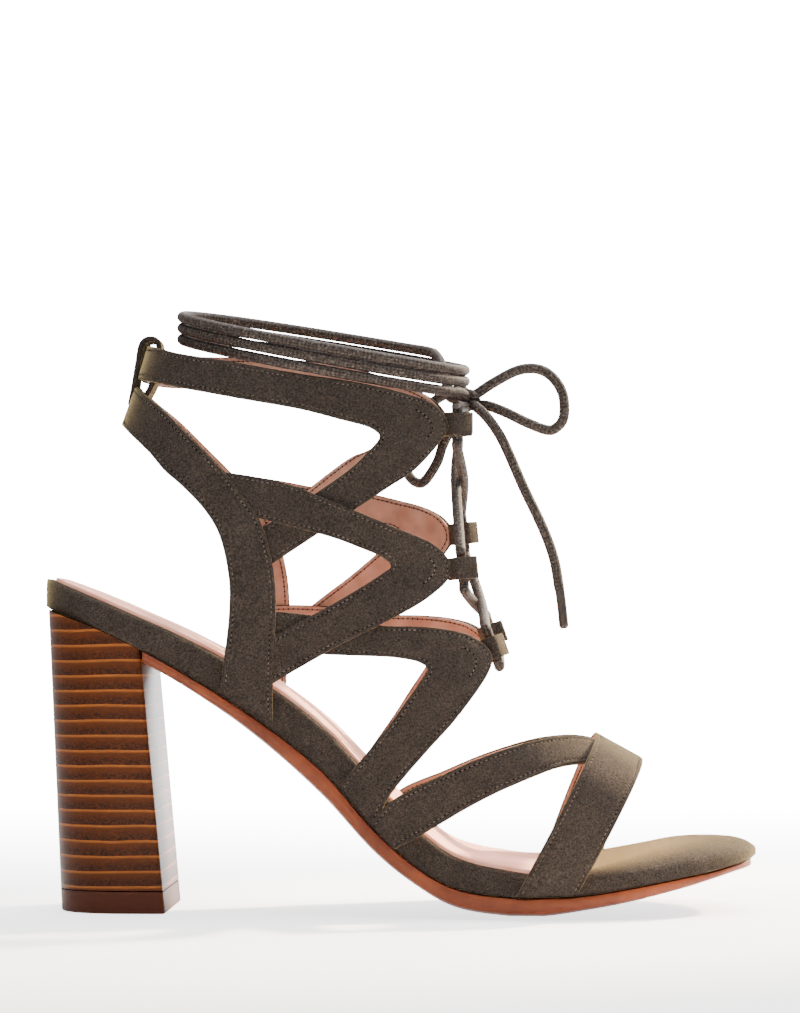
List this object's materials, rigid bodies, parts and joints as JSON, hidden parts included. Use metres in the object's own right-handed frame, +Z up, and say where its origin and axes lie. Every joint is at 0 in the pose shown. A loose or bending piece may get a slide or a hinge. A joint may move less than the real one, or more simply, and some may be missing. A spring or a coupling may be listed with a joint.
{
  "type": "lace-up sandal",
  "caption": "Right lace-up sandal with a tall block heel, open toe, crossing suede straps, heel sling and a round lace run through loops and tied in a bow.",
  "frame": {"origin": "on the floor, under the middle of the shoe's box without its free lace", "axes": "+X towards the toe, +Z up, -Y towards the lateral side"},
  "size_m": [0.2136, 0.086, 0.1824],
  "materials": {
    "outsole": "smooth moulded sole, tan",
    "footbed_suede": "soft faux suede",
    "sock_lining": "smooth lining",
    "stacked_heel": "stacked look with light lines, satin",
    "heel_rubber": "plain satin",
    "upper_suede": "soft faux suede, stitched edges",
    "lace_cord": "waxed round braid",
    "lace_tip": "shrunk clear sleeve over the cord"
  },
  "bodies": {
    "root": {"bow_loop": "lace_cord", "footbed": "footbed_suede", "hanging_loop": "lace_cord", "heel_block": "stacked_heel", "heel_top_piece": "heel_rubber", "insole_sock": "sock_lining", "lace_crossings": "lace_cord", "lace_end": "lace_cord", "lace_knot": "lace_cord", "lace_loop_low_lateral": "upper_suede", "lace_loop_low_medial": "upper_suede", "lace_loop_middle_lateral": "upper_suede", "lace_loop_middle_medial": "upper_suede", "lace_loop_top_lateral": "upper_suede", "lace_loop_top_medial": "upper_suede", "lace_tip": "lace_tip", "lace_turns": "lace_cord", "outsole": "outsole", "upper": "upper_suede"}
  },
  "joints": []
}
